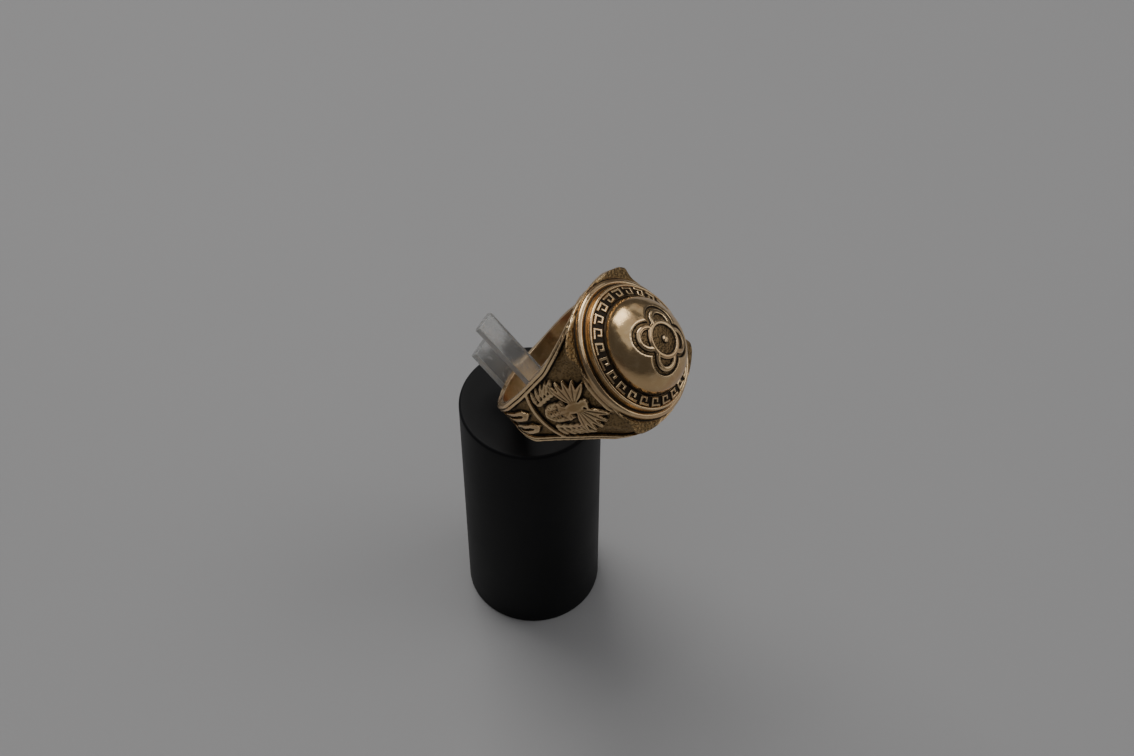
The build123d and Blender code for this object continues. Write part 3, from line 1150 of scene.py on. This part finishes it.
@dataclass
class CrestDome:
    """The polished dome with a knot of four loops between stippled grounds."""

    pose: RingPose
    radius: float = 6.07
    height: float = 4.1
    foot_up: float = 15.5
    foot_radius: float = 6.17
    seat_up: float = 14.83
    wall: float = 1.0
    pocket_depth: float = 0.32
    crown: float = 0.07
    loop_reach: float = 2.3
    loop_outer: float = 2.1
    loop_inner: float = 1.65
    loop_field: float = 1.05
    round_field: float = 2.95
    hub_outer: float = 2.5
    hub_inner: float = 1.9
    bead: float = 0.48
    turns: int = 400
    rows: int = 140
    inner_rows: int = 24

    def pocket(self, across: Array, side: Array) -> Array:
        """Signed distance to the sunk grounds, negative inside them.

        Args:
            across: Place along the finger.
            side: Place towards the ring's side.

        Returns:
            Distances in millimetres.
        """
        from_axis = np.hypot(across, side)
        reach = self.loop_reach / math.sqrt(2)
        centres = [(i * reach, j * reach) for i in (1, -1) for j in (1, -1)]
        loops = np.min([np.hypot(across - x, side - y) for x, y in centres], axis=0)
        shape = np.minimum(from_axis - self.round_field, loops - self.loop_outer)
        shape = np.maximum(shape, self.loop_inner - loops)
        shape = np.minimum(shape, loops - self.loop_field)
        shape = np.maximum(shape, self.hub_outer - from_axis)
        shape = np.minimum(shape, from_axis - self.hub_inner)
        return np.maximum(shape, self.bead - from_axis)

    def profile(self) -> Array:
        """The dome's section from the top, over the foot and back up inside.

        Returns:
            Radius and height of each point. The first rows are the dome's skin.
        """
        turn = np.radians(np.linspace(90, 0, self.rows))
        outer = np.stack([self.radius * np.cos(turn), self.foot_up + self.height * np.sin(turn)], 1)
        outer[0, 0] = 0.0
        foot = np.array([
            (self.radius + 0.04, self.foot_up - 0.02), (self.foot_radius, self.foot_up - 0.08),
            (self.foot_radius, self.seat_up + 0.03), (self.foot_radius - 0.03, self.seat_up),
            (self.radius - self.wall, self.seat_up),
        ])
        back = np.radians(np.linspace(0, 90, self.inner_rows))
        inner_radius, inner_height = self.radius - self.wall, self.height - self.wall
        inner = np.stack([inner_radius * np.cos(back), self.foot_up + inner_height * np.sin(back)], 1)
        inner[-1, 0] = 0.0
        return np.concatenate([outer, foot, inner])

    def build(self, material: Material) -> Object:
        """Makes the dome.

        Args:
            material: The polished gold.

        Returns:
            The piece.
        """
        points, faces = lathe(self.profile(), self.turns)
        outer = np.arange(len(points)) < 1 + (self.rows - 1) * self.turns
        gap = self.pocket(points[:, 0], points[:, 1])
        mask = ease(0.07, -0.09, gap) * outer
        crown = self.crown * ease(0.30, 0.0, gap) * (1 - mask)
        away = points - np.array([0, 0, self.foot_up])
        away *= np.array([self.radius**-2, self.radius**-2, self.height**-2])
        away /= np.maximum(np.linalg.norm(away, axis=1, keepdims=True), TINY)
        drop = (self.pocket_depth * mask + crown) * outer
        points = points - away * drop[:, None]
        points = points * np.array([self.pose.oval_across, self.pose.oval_side, 1.0])
        ring = np.stack([points[:, 2], points[:, 0], -points[:, 1]], 1)
        made = piece("crest_dome_skin", self.pose.to_row(ring), faces, material)
        wall_foot = ease(self.foot_up + 0.3, self.foot_up, points[:, 2]) * outer + (~outer) * 1.0
        step = ease(0.10, 0.0, np.abs(gap + 0.02)) * outer
        store(made.data, {
            "cavity": np.clip(step * 0.55 + mask * 0.28 + wall_foot * 0.5, 0, 1),
            "ground": mask,
            # Just outside the sunk grounds: the gold paints this as a highlight.
            "edge": ease(0.02, 0.10, gap) * ease(0.28, 0.14, gap) * outer,
            "bore": (~outer) * 0.3,
        })
        return settle(made, "crest_dome")


@dataclass
class StandPost:
    """The black cylinder with the slanting socket that the clip stands in."""

    pose: RingPose
    radius: float = 9.5
    height: float = 40.0
    top_edge: float = 0.45
    foot_edge: float = 0.25
    socket_up: Pair = (-10.7, -4.95)
    socket_across: Pair = (-8.75, 8.0)
    socket_half: float = 1.7
    turns: int = 192
    sharp: float = 35.0

    def build(self, material: Material) -> Object:
        """Makes the stand.

        Args:
            material: The black plastic.

        Returns:
            The piece.
        """
        top = arc((self.radius - self.top_edge, self.height - self.top_edge), self.top_edge, 90, 0, 9)
        foot = arc((self.radius - self.foot_edge, self.foot_edge), self.foot_edge, 0, -90, 6)
        flat = np.array([(r, self.height) for r in (0.0, 3.0, 6.0, 8.0)])
        wall = np.array([(self.radius, h) for h in np.linspace(self.height - 1.5, 1.0, 14)])
        base = np.array([(8.0, 0.0), (4.0, 0.0), (0.0, 0.0)])
        points, faces = lathe(np.concatenate([flat, top, wall, foot, base]), self.turns)
        made = piece("stand_cylinder", points * MM, faces, material)
        tool = self.socket_tool(material)
        cut = made.modifiers.new("socket", "BOOLEAN")
        cut.object = tool
        cut.operation = "DIFFERENCE"
        cut.solver = "EXACT"
        mesh = baked(made)
        bpy.data.objects.remove(tool)
        mark_sharp(mesh, self.sharp)
        points = points_of(mesh) / MM
        around = np.hypot(points[:, 0], points[:, 1])
        rim = ease(self.height - 0.6, self.height - 0.1, points[:, 2])
        rim *= ease(self.radius - 0.5, self.radius - 0.2, around)
        store(mesh, {"edge": rim * ease(self.radius + 0.06, self.radius - 0.05, around)})
        return settle(made, "stand_post")

    def socket_tool(self, material: Material) -> Object:
        """The block that cuts the socket.

        Args:
            material: The black plastic.

        Returns:
            A working object.
        """
        sides = (-self.socket_half, self.socket_half)
        corners = [
            (up, across, side) for across in self.socket_across for side in sides for up in self.socket_up
        ]
        faces = [(0, 1, 3, 2), (4, 6, 7, 5), (0, 4, 5, 1), (2, 3, 7, 6), (0, 2, 6, 4), (1, 5, 7, 3)]
        made = piece("socket_tool", self.pose.to_row(np.array(corners)), faces, material)
        turn_outwards(made.data)
        return made


@dataclass
class ClearClip:
    """The clear clip: a root with a long inner arm and a short outer arm."""

    pose: RingPose
    half_width: float = 1.6
    back: float = -10.6
    outer_front: float = -9.47
    inner_back: float = -6.05
    front: float = -5.05
    root: float = -8.6
    web: float = -2.3
    inner_tip: float = 10.9
    outer_tip: float = 7.5
    bevel: float = 0.13
    sharp: float = 50.0

    def build(self, material: Material) -> Object:
        """Makes the clip.

        Args:
            material: The clear plastic.

        Returns:
            The piece.
        """
        outline = [
            (self.back, self.root), (self.front, self.root), (self.front, self.inner_tip),
            (self.inner_back, self.inner_tip), (self.inner_back, self.web), (self.outer_front, self.web),
            (self.outer_front, self.outer_tip), (self.back, self.outer_tip),
        ]
        count = len(outline)
        ring = np.array([(u, a, s) for s in (-self.half_width, self.half_width) for u, a in outline])
        faces = [tuple(range(count)), tuple(range(2 * count - 1, count - 1, -1))]
        faces += [(i, i + count, (i + 1) % count + count, (i + 1) % count) for i in range(count)]
        made = piece("clip_plate", self.pose.to_row(ring), faces, material)
        turn_outwards(made.data)
        soft = made.modifiers.new("soft", "BEVEL")
        soft.width = self.bevel * MM
        soft.segments = 3
        soft.limit_method = "ANGLE"
        mesh = baked(made)
        mark_sharp(mesh, self.sharp)
        place = self.pose.to_ring(points_of(mesh) / MM)
        inner = place[:, 0] > (self.inner_back + self.outer_front) / 2
        tip = np.where(inner, self.inner_tip, self.outer_tip)
        rim = ease(self.half_width - 0.16, self.half_width - 0.02, np.abs(place[:, 2]))
        store(mesh, {"cut": ease(0.25, 0.05, tip - place[:, 1]), "edge": rim})
        return settle(made, "ring_clip")


@dataclass
class SoftStudio:
    """Floor, camera and soft lights. The floor's reach is in metres."""

    camera_at: Place = (74.5, -138.0, 238.9)
    camera_looks: Place = (-0.281, 0.562, -0.778)
    lens: float = 60.5
    sensor: float = 36.0
    light_aim: Place = (3.0, 0.0, 45.0)
    world_tone: Colour = (0.075, 0.075, 0.078)
    floor_reach: float = 3.0

    def floor(self, material: Material) -> None:
        """Lays the floor.

        Args:
            material: The paper.
        """
        signs = ((-1, -1), (1, -1), (1, 1), (-1, 1))
        corners = np.array([(x * self.floor_reach, y * self.floor_reach, 0) for x, y in signs])
        piece("floor", corners, [(0, 1, 2, 3)], material)

    def light(self, name: str, at: Place, size: Pair, power: float, tint: Colour) -> None:
        """Hangs one soft light.

        Args:
            name: The light's name.
            at: Its place in millimetres.
            size: Its width and height in millimetres.
            power: Its power in watts.
            tint: Its colour.
        """
        data = bpy.data.lights.new(name, "AREA")
        data.shape = "RECTANGLE"
        data.size, data.size_y = size[0] * MM, size[1] * MM
        data.energy = power
        data.color = tint
        made = placed(name, data)
        made.location = Vector(at) * MM
        made.rotation_euler = (Vector(self.light_aim) - Vector(at)).to_track_quat("-Z", "Y").to_euler()

    def build(self, paper: Material) -> None:
        """Sets up the floor, lights, world and camera.

        Args:
            paper: The floor's material.
        """
        self.floor(paper)
        self.light("key_left", (-570, 330, 960), (780, 680), 5.0, (1.0, 0.985, 0.96))
        self.light("sky_above", (50, -20, 440), (460, 460), 0.27, (0.99, 0.995, 1.0))
        self.light("panel_back_right", (640, 440, 900), (620, 480), 1.1, (1.0, 0.99, 0.97))
        self.light("panel_back", (0, 1000, 800), (760, 420), 0.35, (1.0, 0.99, 0.98))
        self.light("fill_right", (1050, 420, 330), (1100, 420), 0.75, (1.0, 0.985, 0.97))
        world = bpy.data.worlds.new("room")
        world.use_nodes = True
        back = world.node_tree.nodes["Background"]
        back.inputs["Color"].default_value = (*self.world_tone, 1.0)
        bpy.context.scene.world = world
        data = bpy.data.cameras.new("photo_camera")
        data.lens = self.lens
        data.sensor_width = self.sensor
        data.clip_start, data.clip_end = 0.01, 20.0
        camera = placed("photo_camera", data)
        camera.location = Vector(self.camera_at) * MM
        camera.rotation_euler = Vector(self.camera_looks).to_track_quat("-Z", "Y").to_euler()
        bpy.context.scene.camera = camera


def main() -> None:
    """Builds every piece, the stage and the camera."""
    logging.basicConfig(level=logging.INFO, format="%(name)s %(message)s")
    pose = RingPose()
    gold = GoldFinish().material("ring_gold")
    polished = GoldFinish(polish=Polish.RUBBED, stipple_pitch=0.28).material("dome_gold")
    black = BlackPlastic().material("stand_black")
    clear = ClearPlastic().material("clip_clear")
    paper = GreyPaper().material("grey_paper")
    SoftStudio().build(paper)
    CastHoop(pose).build(gold)
    OrnamentBand(pose).build(gold)
    CrestDome(pose).build(polished)
    StandPost(pose).build(black)
    ClearClip(pose).build(clear)


if __name__ == "__main__":
    main()
